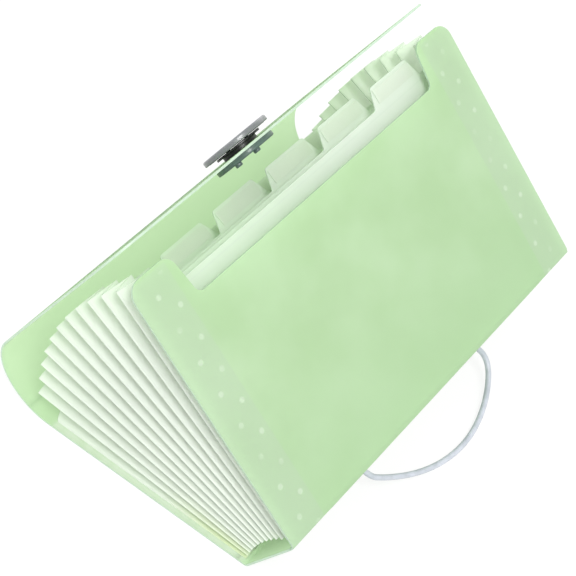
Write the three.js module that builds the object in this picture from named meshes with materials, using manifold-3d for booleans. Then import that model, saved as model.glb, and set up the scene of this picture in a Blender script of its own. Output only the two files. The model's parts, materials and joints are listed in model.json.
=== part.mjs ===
// Expanding file folder of translucent polypropylene: thirteen pockets between pleated side walls,
// in a cover of one creased sheet with a long flap, a button and an elastic loop.
// Millimetres. X runs along the spine, Y from the spine to the pocket mouths, Z up.
// The folder lies open on its back panel. Headings are angles in the YZ plane, from +Y towards +Z.
import * as THREE from "three";
import { mergeVertices } from "three/addons/utils/BufferGeometryUtils.js";
import Module from "manifold-3d";

const wasm = await Module();
wasm.setup();

const degree = Math.PI / 180;

// Fits that pieces share
const seatGap = 0.3;
const pinClearance = 0.3;

// How far joined solids run into each other, and cutting bars run past what they cut
const joinLap = 0.1;
const cutPast = 1;

// Cover sheet, creased into back panel, spine, front panel, flap strip and flap panel
const coverWidth = 180;
const coverThickness = 0.8;
const creaseGap = 0.55;
const flapCreaseGap = 0.4;
const spineDepth = 37.5;
const spineHeading = 121.5 * degree;
const frontHeading = 47 * degree;
const frontHeight = 106.6;
const frontCornerRadius = 6;
const spineEndGap = 0.9;

// Finger cutout along the front panel's top edge, between two ears
const earWidth = 20;
const cutoutDepth = 17;
const cutoutSlope = 2.3;
const cutoutBottomRadius = 5;
const cutoutTopRadius = 8;

// Back panel's upper end, rolled up into the flap strip
const rollInset = 9.4; // how far below the front panel's top edge the back starts to roll
const backFlatLength = frontHeight - rollInset;
const rollRadius = 22.2;
const rollFacet = 6 * degree;
const backRollAngle = 34.4 * degree;
const flapHeading = 123.5 * degree;
const stripStraight = 1;
const flapLength = 101;
const flapCornerRadius = 14;

// Pleated side walls: fold lines fan out from the spine, outer folds even, inner folds odd
const pocketCount = 13;
const foldInset = 1.06;
const pleatInset = 14;
const pleatFacet = 12;
const bellowsThickness = 0.4;
const flangeWidth = 4;
const bellowsBottomRise = 3.2;
const bellowsBottom = 2;
const bellowsTopInset = 1.4;
const bellowsTopRise = 4.4;
const bellowsRollInset = 2;
const bellowsRollStep = 6;
const bellowsRings = 7;

// Dividers, welded to the inner folds, with staggered index tabs and paper slips
const dividerThickness = 0.5;
const dividerTopInset = 2.2;
const tabHeight = 8;
const dividerCornerRadius = 2;
const tabWidth = 28;
const tabSlant = 3;
const tabPositions = 6;
const tabMargin = 4.6;
const tabCornerRadius = 1.6;
const labelWidth = 22;
const labelHeight = 5.6;
const labelThickness = 0.25;
const labelRadius = 0.4;

// Button stack on the flap
const buttonHeight = 67;
const capRadius = 14.4;
const capThickness = 2.2;
const capEdgeRadius = 0.7;
const spacerWideRadius = 9.75;
const spacerWideThickness = 0.9;
const spacerNarrowRadius = 7.5;
const spacerNarrowThickness = 1.25;
const backingRadius = 12.8;
const backingThickness = 2;
const backingEdgeRadius = 0.5;
const rivetSpacing = 10.4;
const rivetRadius = 0.9;
const rivetHeadRadius = 1.45;
const rivetHeadThickness = 1.1;
const rivetCapDepth = 1.1;
const roundSides = 40;
const rivetSides = 16;

// Elastic loop, held by a flat bar behind a hole at each end
const cordDiameter = 2.3;
const anchorSpacing = 76;
const barbNeckRadius = 1.3;
const barbNeckStand = 0.7;
const barbBarLength = 9;
const barbBarWidth = 2.6;
const barbBarThickness = 0.9;
const cordStraight = 2.4;
const cordSides = 8;
const cordSteps = 44;

// Steps of a rounded corner, and the distance within which two corners of a mesh are one
const cornerSteps = 5;
const mergeDistance = 1e-5;

// Colours of the clear and tinted sheets, the button and the cord
const coverMaterial = sheetMaterial("#c3e6b6", 0.42);
const frontMaterial = sheetMaterial("#bfe5b2", 0.42);
const bellowsMaterial = sheetMaterial("#d6e2d2", 0.5);
const dividerMaterial = sheetMaterial("#dde6dc", 0.5);
const paperMaterial = sheetMaterial("#f2f2ee", 0.9);
const capMaterial = sheetMaterial("#8d9390", 0.35);
const spacerMaterial = sheetMaterial("#171a19", 0.4);
const backingMaterial = sheetMaterial("#586b66", 0.4);
const cordMaterial = sheetMaterial("#dfe3ec", 0.45);
const barbMaterial = sheetMaterial("#cfd2d4", 0.35);

function sheetMaterial(color, roughness) {
  return new THREE.MeshStandardMaterial({ color, roughness, metalness: 0 });
}

// Unit step along a heading, as (y, z) in a Vector2.
function along(heading) {
  return new THREE.Vector2(Math.cos(heading), Math.sin(heading));
}

// Half the cover's width, and how far out the pleats' inner folds are.
const halfCover = coverWidth / 2;
const pleatInner = halfCover - pleatInset;

// Places on the creases, as (y, z), with the back crease at the origin.
const backCrease = new THREE.Vector2(0, 0);
const frontCrease = along(spineHeading).multiplyScalar(spineDepth);
const rollCentre = new THREE.Vector2(backFlatLength, rollRadius);

function rollPoint(heading) {
  return along(heading - 90 * degree).multiplyScalar(rollRadius).add(rollCentre);
}

const stripCrease = rollPoint(backRollAngle);
const flapCrease = rollPoint(flapHeading).add(along(flapHeading).multiplyScalar(stripStraight));

// Fold lines: fold k leaves the spine at foldBase(k) and runs along foldHeading(k).
const foldCount = 2 * (pocketCount - 1);

function foldHeading(fold) {
  return (fold / foldCount) * frontHeading;
}

function foldBase(fold) {
  const distance = foldInset + (fold / foldCount) * (spineDepth - 2 * foldInset);
  return along(spineHeading).multiplyScalar(distance);
}

function foldPoint(fold, height) {
  return along(foldHeading(fold)).multiplyScalar(height).add(foldBase(fold));
}

// Distance across from one fold line to the next, at a height along them.
function foldPitch(fold, height) {
  const basePitch = (spineDepth - 2 * foldInset) / foldCount;
  return basePitch * Math.sin(spineHeading - foldHeading(fold)) + (height * frontHeading) / foldCount;
}

// The dividers' and pleats' lower ends follow an arch, because the fan bows outwards as it closes.
function foldBottom(fold) {
  const fromMiddle = (2 * fold) / foldCount - 1;
  return bellowsBottom + bellowsBottomRise * (1 - fromMiddle * fromMiddle);
}

// The side walls' upper ends bow up too. They start just short of the front panel's top edge, and
// stop short of the rolled end of the back panel.
function foldTop(fold) {
  const fromMiddle = (2 * fold) / foldCount - 1;
  const rise = bellowsTopRise * (1 - fromMiddle * fromMiddle);
  const rollStart = backFlatLength - bellowsRollInset;
  return Math.min(frontHeight - bellowsTopInset + rise, rollStart + bellowsRollStep * fold);
}

// Closed outline through corners [x, y, radius], each rounded by its radius.
function roundedShape(corners) {
  const shape = new THREE.Shape();
  corners.forEach(([x, y, radius], index) => {
    const corner = new THREE.Vector2(x, y);
    const before = new THREE.Vector2(...corners.at(index - 1)).sub(corner).setLength(radius).add(corner);
    const after = new THREE.Vector2(...corners[(index + 1) % corners.length]);
    after.sub(corner).setLength(radius).add(corner);
    if (index === 0) shape.moveTo(before.x, before.y);
    else shape.lineTo(before.x, before.y);
    if (radius > 0) shape.quadraticCurveTo(x, y, after.x, after.y);
  });
  return shape;
}

// Flat sheet with its outline in X and along the heading, centred on its own mid plane.
function flatSheet(shape, thickness) {
  const geometry = new THREE.ExtrudeGeometry(shape, { depth: thickness, bevelEnabled: false, curveSegments: cornerSteps });
  return geometry.translate(0, 0, -thickness / 2);
}

// Bent sheet: a mid line of (y, z) points, given a thickness and drawn along the whole width.
function bentSheet(midLine, thickness, width) {
  const offsetLine = (side) => midLine.map((point, index) => {
    const before = midLine[Math.max(index - 1, 0)];
    const after = midLine[Math.min(index + 1, midLine.length - 1)];
    const step = after.clone().sub(before).setLength((side * thickness) / 2);
    return new THREE.Vector2(point.x - step.y, point.y + step.x);
  });
  const shape = new THREE.Shape([...offsetLine(-1), ...offsetLine(1).reverse()]);
  const geometry = new THREE.ExtrudeGeometry(shape, { depth: width, bevelEnabled: false });
  geometry.translate(0, 0, -width / 2);
  const toWidth = new THREE.Matrix4().makeBasis(
    new THREE.Vector3(0, 1, 0), new THREE.Vector3(0, 0, 1), new THREE.Vector3(1, 0, 0));
  return geometry.applyMatrix4(toWidth);
}

// Closed solid from points and triangles, turned so that its faces point out.
function closedSolid(points, triangles) {
  const volume = triangles.reduce((sum, [a, b, c]) => {
    return sum + points[a].dot(new THREE.Vector3().crossVectors(points[b], points[c]));
  }, 0);
  const outward = volume > 0 ? triangles : triangles.map(([a, b, c]) => [a, c, b]);
  const geometry = new THREE.BufferGeometry().setFromPoints(points);
  geometry.setIndex(outward.flat());
  return geometry;
}

function toManifold(geometry) {
  const bare = geometry.clone();
  bare.deleteAttribute("normal");
  bare.deleteAttribute("uv");
  const merged = mergeVertices(bare, mergeDistance);
  const vertProperties = new Float32Array(merged.attributes.position.array);
  const triVerts = new Uint32Array(merged.index.array);
  return new wasm.Manifold(new wasm.Mesh({ numProp: 3, vertProperties, triVerts }));
}

function fromManifold(solid) {
  const { vertProperties, triVerts } = solid.getMesh();
  const geometry = new THREE.BufferGeometry();
  geometry.setAttribute("position", new THREE.BufferAttribute(new Float32Array(vertProperties), 3));
  geometry.setIndex([...triVerts]);
  return geometry;
}

function cut(geometry, ...tools) {
  return fromManifold(tools.reduce((solid, tool) => solid.subtract(toManifold(tool)), toManifold(geometry)));
}

function join(geometry, ...others) {
  return fromManifold(others.reduce((solid, other) => solid.add(toManifold(other)), toManifold(geometry)));
}

// Upright round bar from one height to another, on an axis at x.
function roundBar(radius, low, high, x = 0, sides = rivetSides) {
  const bar = new THREE.CylinderGeometry(radius, radius, high - low, sides);
  return bar.rotateX(Math.PI / 2).translate(x, 0, (low + high) / 2);
}

// Round plate with eased edges, from one height to another.
function roundPlate(radius, low, high, edge) {
  const easing = edge * (1 - Math.SQRT1_2);
  const profile = [
    [0, low], [radius - edge, low], [radius - easing, low + easing], [radius, low + edge],
    [radius, high - edge], [radius - easing, high - easing], [radius - edge, high], [0, high],
  ].map(([r, z]) => new THREE.Vector2(r, z));
  return new THREE.LatheGeometry(profile, roundSides).rotateX(Math.PI / 2);
}

const part = new THREE.Group();

// A frame whose X lies along a crease, Y along the heading and Z across the sheet.
function creaseFrame(place, heading) {
  const frame = new THREE.Group();
  frame.position.set(0, place.x, place.y);
  frame.rotation.x = heading;
  part.add(frame);
  return frame;
}

function addPiece(parent, name, geometry, material) {
  const piece = new THREE.Mesh(geometry, material);
  piece.name = name;
  parent.add(piece);
  return piece;
}

// Cover: back panel with its rolled end
function rollArc(from, to) {
  const steps = Math.max(2, Math.round((to - from) / rollFacet));
  return Array.from({ length: steps + 1 }, (_, i) => rollPoint(from + ((to - from) * i) / steps));
}

const creaseAngle = flapCreaseGap / rollRadius;
const backLine = [new THREE.Vector2(creaseGap, 0), ...rollArc(0, backRollAngle - creaseAngle)];
addPiece(part, "back_panel", bentSheet(backLine, coverThickness, coverWidth), coverMaterial);

const stripEnd = flapCrease.clone().sub(along(flapHeading).multiplyScalar(flapCreaseGap));
const stripLine = [...rollArc(backRollAngle + creaseAngle, flapHeading), stripEnd];
addPiece(part, "flap_strip", bentSheet(stripLine, coverThickness, coverWidth), coverMaterial);

// Spine panel, with a hole for each end of the loop
const spineFrame = creaseFrame(backCrease, spineHeading);
const spineShape = roundedShape([
  [-halfCover, creaseGap, 0], [halfCover, creaseGap, 0],
  [halfCover, spineDepth - spineEndGap, 0], [-halfCover, spineDepth - spineEndGap, 0],
]);
const anchors = { left: -anchorSpacing / 2, right: anchorSpacing / 2 };
for (const x of Object.values(anchors)) {
  spineShape.holes.push(new THREE.Path().absarc(x, spineDepth / 2, barbNeckRadius + pinClearance, 0, 2 * Math.PI));
}
addPiece(spineFrame, "spine_panel", flatSheet(spineShape, coverThickness), coverMaterial);

// Front panel, with the finger cutout between two ears
const frontFrame = creaseFrame(frontCrease, frontHeading);
const cutoutTop = halfCover - earWidth;
const cutoutFoot = cutoutTop - cutoutSlope;
const frontShape = roundedShape([
  [-halfCover, creaseGap, 0], [halfCover, creaseGap, 0],
  [halfCover, frontHeight, frontCornerRadius],
  [cutoutTop, frontHeight, cutoutTopRadius],
  [cutoutFoot, frontHeight - cutoutDepth, cutoutBottomRadius],
  [-cutoutFoot, frontHeight - cutoutDepth, cutoutBottomRadius],
  [-cutoutTop, frontHeight, cutoutTopRadius],
  [-halfCover, frontHeight, frontCornerRadius],
]);
addPiece(frontFrame, "front_panel", flatSheet(frontShape, coverThickness), frontMaterial);

// Flap panel, with the two rivet holes of the button
const flapFrame = creaseFrame(flapCrease, flapHeading);
const flapShape = roundedShape([
  [-halfCover, flapCreaseGap, 0], [halfCover, flapCreaseGap, 0],
  [halfCover, flapLength, flapCornerRadius], [-halfCover, flapLength, flapCornerRadius],
]);
const rivets = { left: -rivetSpacing / 2, right: rivetSpacing / 2 };
for (const x of Object.values(rivets)) {
  flapShape.holes.push(new THREE.Path().absarc(x, buttonHeight, rivetRadius + pinClearance, 0, 2 * Math.PI));
}
addPiece(flapFrame, "flap_panel", flatSheet(flapShape, coverThickness), coverMaterial);

// Button: cap and stepped spacer outside the flap, backing plate and rivets inside it.
// Heights here run across the flap, positive towards the pockets.
const buttonFrame = new THREE.Group();
buttonFrame.position.y = buttonHeight;
flapFrame.add(buttonFrame);
const backingLow = coverThickness / 2 + seatGap;
const backingHigh = backingLow + backingThickness;
const spacerFoot = -coverThickness / 2 - seatGap;
const spacerStep = spacerFoot - spacerNarrowThickness;
const spacerTop = spacerStep - spacerWideThickness;
const capInner = spacerTop - seatGap;
const capOuter = capInner - capThickness;
const rivetEnd = capInner - rivetCapDepth + pinClearance;
const rivetHeadLow = backingHigh + seatGap;
const rivetHoles = (low, high) => Object.values(rivets).map(
  (x) => roundBar(rivetRadius + pinClearance, low, high, x));
addPiece(buttonFrame, "button_cap", cut(
  roundPlate(capRadius, capOuter, capInner, capEdgeRadius),
  ...rivetHoles(capInner - rivetCapDepth, capInner + cutPast)), capMaterial);
addPiece(buttonFrame, "button_spacer", cut(
  join(
    roundBar(spacerNarrowRadius, spacerStep - joinLap, spacerFoot, 0, roundSides),
    roundBar(spacerWideRadius, spacerTop, spacerStep, 0, roundSides)),
  ...rivetHoles(spacerTop - cutPast, spacerFoot + cutPast)), spacerMaterial);
addPiece(buttonFrame, "button_backing", cut(
  roundPlate(backingRadius, backingLow, backingHigh, backingEdgeRadius),
  ...rivetHoles(backingLow - cutPast, backingHigh + cutPast)), backingMaterial);
for (const [side, x] of Object.entries(rivets)) {
  addPiece(buttonFrame, `button_rivet_${side}`, join(
    roundBar(rivetRadius, rivetEnd, rivetHeadLow + joinLap, x),
    roundBar(rivetHeadRadius, rivetHeadLow, rivetHeadLow + rivetHeadThickness, x)), backingMaterial);
}

// Dividers and their paper slips. An inner fold is drawn in by up to a quarter of its sheet's thickness.
const dividerHalf = pleatInner - bellowsThickness / 4 - seatGap;
const dividerTop = frontHeight - dividerTopInset;
const dividerBodyTop = dividerTop - tabHeight;
const tabPitch = (2 * (dividerHalf - tabMargin) - tabWidth) / (tabPositions - 1);

function dividerShape(fold, tabX) {
  const bottom = foldBottom(fold);
  const halfTab = tabWidth / 2;
  return roundedShape([
    [-dividerHalf, bottom, 0], [dividerHalf, bottom, 0],
    [dividerHalf, dividerBodyTop, dividerCornerRadius],
    [tabX + halfTab, dividerBodyTop, tabCornerRadius],
    [tabX + halfTab - tabSlant, dividerTop, tabCornerRadius],
    [tabX - halfTab + tabSlant, dividerTop, tabCornerRadius],
    [tabX - halfTab, dividerBodyTop, tabCornerRadius],
    [-dividerHalf, dividerBodyTop, dividerCornerRadius],
  ]);
}

const dividerCount = pocketCount - 1;
for (let index = 0; index < dividerCount; index++) {
  const fold = 2 * index + 1;
  const number = String(index + 1).padStart(2, "0");
  const tabX = ((index % tabPositions) - (tabPositions - 1) / 2) * tabPitch;
  const frame = creaseFrame(foldBase(fold), foldHeading(fold));
  addPiece(frame, `divider_${number}`, flatSheet(dividerShape(fold, tabX), dividerThickness), dividerMaterial);
  const slip = roundedShape([
    [-labelWidth / 2, -labelHeight / 2, labelRadius], [labelWidth / 2, -labelHeight / 2, labelRadius],
    [labelWidth / 2, labelHeight / 2, labelRadius], [-labelWidth / 2, labelHeight / 2, labelRadius],
  ]);
  const label = addPiece(frame, `index_label_${number}`, flatSheet(slip, labelThickness), paperMaterial);
  const labelLift = dividerThickness / 2 + seatGap + labelThickness / 2;
  label.position.set(tabX, (dividerBodyTop + dividerTop) / 2, labelLift);
}

// Pleated side walls. A ring is the wall's section, as points [x, fold, height] around it, and a narrow
// flange at each end of it lies on the cover.
const flangeInner = pleatInner - flangeWidth;

// At a fold the sheet's hollow side has one corner, and its crest side has two, which keep it blunt.
function bellowsRing(share) {
  const half = bellowsThickness / 2;
  const outside = [];
  const inside = [];
  for (let fold = 0; fold <= foldCount; fold++) {
    const height = foldBottom(fold) + share * (foldTop(fold) - foldBottom(fold));
    const pitch = foldPitch(fold, height);
    const depth = Math.sqrt(pleatFacet ** 2 - pitch ** 2);
    const crestIsOutside = fold % 2 === 0;
    const x = crestIsOutside ? pleatInner + depth : pleatInner;
    const crest = crestIsOutside ? 1 : -1;
    const crestX = x + (crest * half * pitch) / pleatFacet;
    const crestStep = (half * depth) / pleatFacet / pitch;
    const hollowX = x - (crest * half * pleatFacet) / pitch;
    if (fold === 0 || fold === foldCount) {
      const way = fold === 0 ? 1 : -1;
      const slant = Math.atan2(pitch, depth) / 2;
      const reach = half / Math.sin(slant);
      const crestEnds = [[x, fold - (way * half) / pitch, height], [crestX, fold + way * crestStep, height]];
      outside.push(...(way > 0 ? crestEnds : crestEnds.reverse()));
      inside.push([x - reach * Math.cos(slant), fold + (way * reach * Math.sin(slant)) / pitch, height]);
      const flangeEnds = [[flangeInner, fold - (way * half) / pitch, height],
        [flangeInner, fold + (way * half) / pitch, height]];
      outside[way > 0 ? "unshift" : "push"](flangeEnds[0]);
      inside[way > 0 ? "unshift" : "push"](flangeEnds[1]);
    } else {
      const crestSide = crestIsOutside ? outside : inside;
      const hollowSide = crestIsOutside ? inside : outside;
      crestSide.push([crestX, fold - crestStep, height], [crestX, fold + crestStep, height]);
      hollowSide.push([hollowX, fold, height]);
    }
  }
  return [...outside, ...inside.reverse()];
}

function bellowsGeometry(side) {
  const endPitch = (2 * spineDepth) / foldCount;
  const rings = Array.from({ length: bellowsRings }, (_, i) => bellowsRing(i / (bellowsRings - 1)));
  const count = rings[0].length;
  const points = rings.flat().map(([x, fold, height]) => {
    const place = foldPoint(fold, height);
    return new THREE.Vector3(side * x, place.x, place.y);
  });
  const triangles = [];
  for (let ring = 0; ring < bellowsRings - 1; ring++) {
    for (let i = 0; i < count; i++) {
      const next = (i + 1) % count;
      const [a, b] = [ring * count + i, ring * count + next];
      triangles.push([a, b, b + count], [a, b + count, a + count]);
    }
  }
  const endFaces = (ring) => THREE.ShapeUtils.triangulateShape(
    rings[ring].map(([x, fold]) => new THREE.Vector2(x, endPitch * fold)), []);
  const last = bellowsRings - 1;
  const firstFaces = endFaces(0);
  const lastFaces = endFaces(last).map((face) => face.map((i) => i + last * count));
  triangles.push(...firstFaces.map(([a, b, c]) => [a, c, b]), ...lastFaces);
  return closedSolid(points, triangles);
}

addPiece(part, "left_bellows", bellowsGeometry(-1), bellowsMaterial);
addPiece(part, "right_bellows", bellowsGeometry(1), bellowsMaterial);

// Barbs: a neck through the spine's hole and a flat bar behind it. Heights run across the spine,
// positive away from the pockets.
const neckOuter = coverThickness / 2 + barbNeckStand;
const barOuter = -coverThickness / 2 - seatGap;
for (const [side, x] of Object.entries(anchors)) {
  const bar = new THREE.BoxGeometry(barbBarLength, barbBarWidth, barbBarThickness);
  bar.translate(x, 0, barOuter - barbBarThickness / 2);
  const neck = roundBar(barbNeckRadius, barOuter - barbBarThickness / 2, neckOuter, x);
  const barb = addPiece(spineFrame, `cord_barb_${side}`, join(bar, neck), barbMaterial);
  barb.position.y = spineDepth / 2;
}

// Elastic loop: out of the spine square to it, down in a bow onto the table, and back in.
// The bow's places are [x, y, z] from the back crease.
const exitDistance = neckOuter + seatGap;
const exitStep = along(spineHeading + 90 * degree);
const exitPlace = along(spineHeading).multiplyScalar(spineDepth / 2);

function exitPoint(x, distance) {
  const place = exitStep.clone().multiplyScalar(distance).add(exitPlace);
  return new THREE.Vector3(x, place.x, place.y);
}

const cordBow = [
  [38.4, -15.9, 12.1], [37.8, -18.4, 9.9], [35.7, -20.9, 7.8], [32.2, -23.4, 5.9],
  [27.6, -25.8, 4.3], [22.0, -28.0, 3.1], [15.8, -29.7, 2.2], [9.4, -30.7, 1.5],
  [2.8, -30.8, 1.0], [-3.8, -30.0, 0.9], [-10.4, -28.3, 1.1], [-16.8, -26.0, 2.1],
  [-22.8, -23.4, 3.9], [-28.4, -20.7, 6.4], [-33.0, -18.4, 9.0], [-36.5, -16.1, 11.5],
].map((place) => new THREE.Vector3(...place));
const cordRoute = new THREE.CatmullRomCurve3([
  exitPoint(anchors.right, exitDistance), exitPoint(anchors.right, exitDistance + cordStraight), ...cordBow,
  exitPoint(anchors.left, exitDistance + cordStraight), exitPoint(anchors.left, exitDistance),
]);
const cordSection = new THREE.Shape(Array.from({ length: cordSides }, (_, i) => {
  return along((i * 360 * degree) / cordSides).multiplyScalar(cordDiameter / 2);
}));
addPiece(part, "elastic_cord", new THREE.ExtrudeGeometry(cordSection, {
  steps: cordSteps, bevelEnabled: false, extrudePath: cordRoute,
}), cordMaterial);

// The origin is at the middle of the footprint, on the table, the loop not counted.
part.updateMatrixWorld(true);
const bounds = new THREE.Box3();
part.traverse((piece) => {
  if (piece.isMesh && piece.name !== "elastic_cord") bounds.union(new THREE.Box3().setFromObject(piece, true));
});
part.position.set(0, -(bounds.min.y + bounds.max.y) / 2, -bounds.min.z);
part.updateMatrixWorld(true);

export default part;
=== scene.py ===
import json
import math
import bpy
import numpy as np
from mathutils import Matrix, Vector


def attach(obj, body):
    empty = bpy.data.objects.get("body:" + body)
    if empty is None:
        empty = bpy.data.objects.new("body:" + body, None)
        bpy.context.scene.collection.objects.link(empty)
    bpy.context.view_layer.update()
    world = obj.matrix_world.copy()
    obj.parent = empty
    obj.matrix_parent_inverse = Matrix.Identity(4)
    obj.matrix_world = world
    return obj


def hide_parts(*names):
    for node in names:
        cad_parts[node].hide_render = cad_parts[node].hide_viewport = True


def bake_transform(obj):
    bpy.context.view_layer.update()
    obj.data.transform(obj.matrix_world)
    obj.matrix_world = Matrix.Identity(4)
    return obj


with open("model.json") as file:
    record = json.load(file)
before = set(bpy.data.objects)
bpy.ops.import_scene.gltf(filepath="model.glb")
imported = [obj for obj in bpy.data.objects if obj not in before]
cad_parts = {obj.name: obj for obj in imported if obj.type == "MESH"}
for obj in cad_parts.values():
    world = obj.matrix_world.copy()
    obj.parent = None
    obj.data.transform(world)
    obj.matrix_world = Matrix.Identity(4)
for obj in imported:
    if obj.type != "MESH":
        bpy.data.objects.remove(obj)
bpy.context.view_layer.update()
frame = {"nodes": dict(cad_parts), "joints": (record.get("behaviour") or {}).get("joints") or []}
mm = 0.001
print("frame loaded")

# The file lies on its back panel. Headings are degrees in the YZ plane, from +Y towards +Z.
# Lengths in the dictionaries are millimetres unless a note says otherwise, and places are
# measured from the crease between the back panel and the spine.
backCrease = next(np.array(j["pos_m"][1:]) for j in frame["joints"] if j["name"] == "spine_crease")
creaseOnAxis = np.array([0, *backCrease])


def along(heading):
    # unit step along a heading, as (y, z)
    angle = np.radians(heading)
    return np.stack([np.cos(angle), np.sin(angle)], -1)


# Camera

camera = {
    "place": (-317.64, -216.97, 470.08),
    "turn": 55.285,         # degrees from -Y towards -X at which the lens stands
    "rise": 48.457,         # degrees above the table
    "roll": 4.377,
    "focalPixels": 1504.6,  # focal length in pixels of an image that is imageWidth wide
    "imageWidth": 576,
    "sensor": 36,
    "farClip": 20,          # metres
}


def addCamera(look):
    turn, rise, roll = np.radians([look["turn"], look["rise"], look["roll"]])
    back = np.array([-np.sin(turn) * np.cos(rise), -np.cos(turn) * np.cos(rise), np.sin(rise)])
    level = np.cross(-back, (0, 0, 1))
    level /= np.linalg.norm(level)
    upright = np.cross(level, -back)
    right = np.cos(roll) * level + np.sin(roll) * upright
    up = np.cos(roll) * upright - np.sin(roll) * level
    data = bpy.data.cameras.new("photo_camera")
    data.sensor_width = look["sensor"]
    data.lens = look["focalPixels"] / look["imageWidth"] * look["sensor"]
    data.clip_end = look["farClip"]
    stand = bpy.data.objects.new("photo_camera", data)
    turned = Matrix(np.column_stack([right, up, back]).tolist()).to_4x4()
    stand.matrix_world = Matrix.Translation(Vector(look["place"]) * mm) @ turned
    bpy.context.scene.collection.objects.link(stand)
    bpy.context.scene.camera = stand


addCamera(camera)
print("camera placed")


# Shader sums written as Python expressions

class Wire:
    # A shader socket in a node tree. An expression on wires and numbers adds Math nodes.
    def __init__(self, tree, socket=None):
        self.tree = tree
        self.socket = socket

    def node(self, kind, settings=None, values=None, out=0):
        # a node of that kind, its settings set first, then the values or links of its sockets
        made = self.tree.nodes.new(kind)
        for name, value in (settings or {}).items():
            setattr(made, name, value)
        for name, value in (values or {}).items():
            if isinstance(value, Wire):
                self.tree.links.new(value.socket, made.inputs[name])
            else:
                made.inputs[name].default_value = value
        return Wire(self.tree, made.outputs[out] if made.outputs else None)

    def sum(self, operation, other=0.0, flipped=False):
        first, second = (other, self) if flipped else (self, other)
        return self.node("ShaderNodeMath", {"operation": operation}, {0: first, 1: second})

    def __add__(self, other):
        return self.sum("ADD", other)

    def __radd__(self, other):
        return self.sum("ADD", other, True)

    def __sub__(self, other):
        return self.sum("SUBTRACT", other)

    def __rsub__(self, other):
        return self.sum("SUBTRACT", other, True)

    def __mul__(self, other):
        return self.sum("MULTIPLY", other)

    def __rmul__(self, other):
        return self.sum("MULTIPLY", other, True)

    def __pow__(self, other):
        return self.sum("POWER", other)

    def __mod__(self, other):
        return self.sum("FLOORED_MODULO", other)

    def __abs__(self):
        return self.sum("ABSOLUTE")

    def least(self, other):
        return self.sum("MINIMUM", other)

    def most(self, other):
        return self.sum("MAXIMUM", other)

    def fade(self, low, high):
        # 0 at low, 1 at high, smooth between; low may be the larger
        return self.node("ShaderNodeMapRange", {"interpolation_type": "SMOOTHSTEP"},
                         {"Value": self, "From Min": low, "From Max": high})

    def part(self, axis):
        # one part of a vector
        return self.node("ShaderNodeSeparateXYZ", None, {0: self}, "XYZ".index(axis))

    def noise(self, scale, detail=2.0, roughness=0.5):
        return self.node("ShaderNodeTexNoise", None,
                         {"Vector": self, "Scale": scale, "Detail": detail, "Roughness": roughness})

    def between(self, first, second):
        # colour mixed from first to second by this wire; 6, 7 and out 2 are a Mix node's colours
        mix = self.node("ShaderNodeMix", {"data_type": "RGBA"}, {0: self}, 2)
        for index, colour in ((6, first), (7, second)):
            socket = mix.socket.node.inputs[index]
            if isinstance(colour, Wire):
                self.tree.links.new(colour.socket, socket)
            else:
                socket.default_value = (*colour, 1)
        return mix

    def bump(self):
        # a normal from this wire as a height in metres
        return self.node("ShaderNodeBump", None, {"Height": self, "Distance": 1.0, "Strength": 1.0})


def linear(colour):
    # screen colour, 0 to 255, as the linear values that a shader takes
    share = np.array(colour, float) / 255
    bright = ((share + 0.055) / 1.055) ** 2.4
    return tuple(np.where(share <= 0.04045, share / 12.92, bright).tolist())


def newMaterial(name):
    made = bpy.data.materials.new(name)
    made.use_nodes = True
    made.node_tree.nodes.clear()
    return made, Wire(made.node_tree)


def finishMaterial(base, colour, roughness, normal, glow=0.0, inner=None, settings=None):
    # a plastic surface; a share of what shows is light from behind, in the sheet's one inner colour
    values = {"Base Color": colour, "Roughness": roughness, **(settings or {})}
    if normal is not None:
        values["Normal"] = normal
    surface = base.node("ShaderNodeBsdfPrincipled", None, values)
    if glow:
        through = base.node("ShaderNodeBsdfTranslucent", None, {"Color": (*linear(inner), 1)})
        surface = base.node("ShaderNodeMixShader", None, {0: glow, 1: surface, 2: through})
    base.node("ShaderNodeOutputMaterial", None, {0: surface})


def objectPlace(base):
    return base.node("ShaderNodeTexCoord", None, None, 3)


def sheetPlace(base):
    # a sheet's own place: millimetres across it from its middle, and along it from its crease
    return base.node("ShaderNodeAttribute", {"attribute_name": "sheetPlace"}, None, 1)


sheetFinish = {
    "mottle": 0.028,        # cloudiness cells per millimetre
    "grain": 3.2,           # fine moulded grain per millimetre
    "grainHeight": 0.00002,  # metres
    "roughness": 0.36,
    "unevenRoughness": 0.12,
    "glow": 0.7,            # share of what shows that comes from behind
    "ior": 1.49,
}
weldRows = {
    "outer": 81.6,          # from the sheet's middle to the outer row
    "inner": 76,
    "pitch": 13,
    "radius": 1.1,
    "soft": (1.25, 0.7),    # where a dot starts and where it is full, as shares of its radius
    "unevenCells": 0.11,    # per millimetre
    "faintest": 0.35,
    "to": 99,               # how far up the sheet the rows run
    "share": 0.3,
    "colour": (236, 247, 231),
    "depth": 0.00008,       # metres
}
edgeLook = {
    "streaks": 0.5,         # per millimetre
    "roughness": 0.3,
    "unevenRoughness": 0.1,
    "glow": 0.5,
}


def weldDots(place, across, up, look):
    # two staggered rows of round welds beside each side edge
    beside = abs(across)
    rows = []
    for distance, shift in ((look["outer"], 0.0), (look["inner"], look["pitch"] / 2)):
        step = (up + shift) % look["pitch"] - look["pitch"] / 2
        reach = ((beside - distance) ** 2 + step * step) ** 0.5
        starts, full = (share * look["radius"] for share in look["soft"])
        rows.append(reach.fade(starts, full))
    uneven = place.noise(look["unevenCells"], 1.0).fade(0.35, 0.6)
    return rows[0].most(rows[1]) * (look["faintest"] + uneven * (1 - look["faintest"]))


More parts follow.
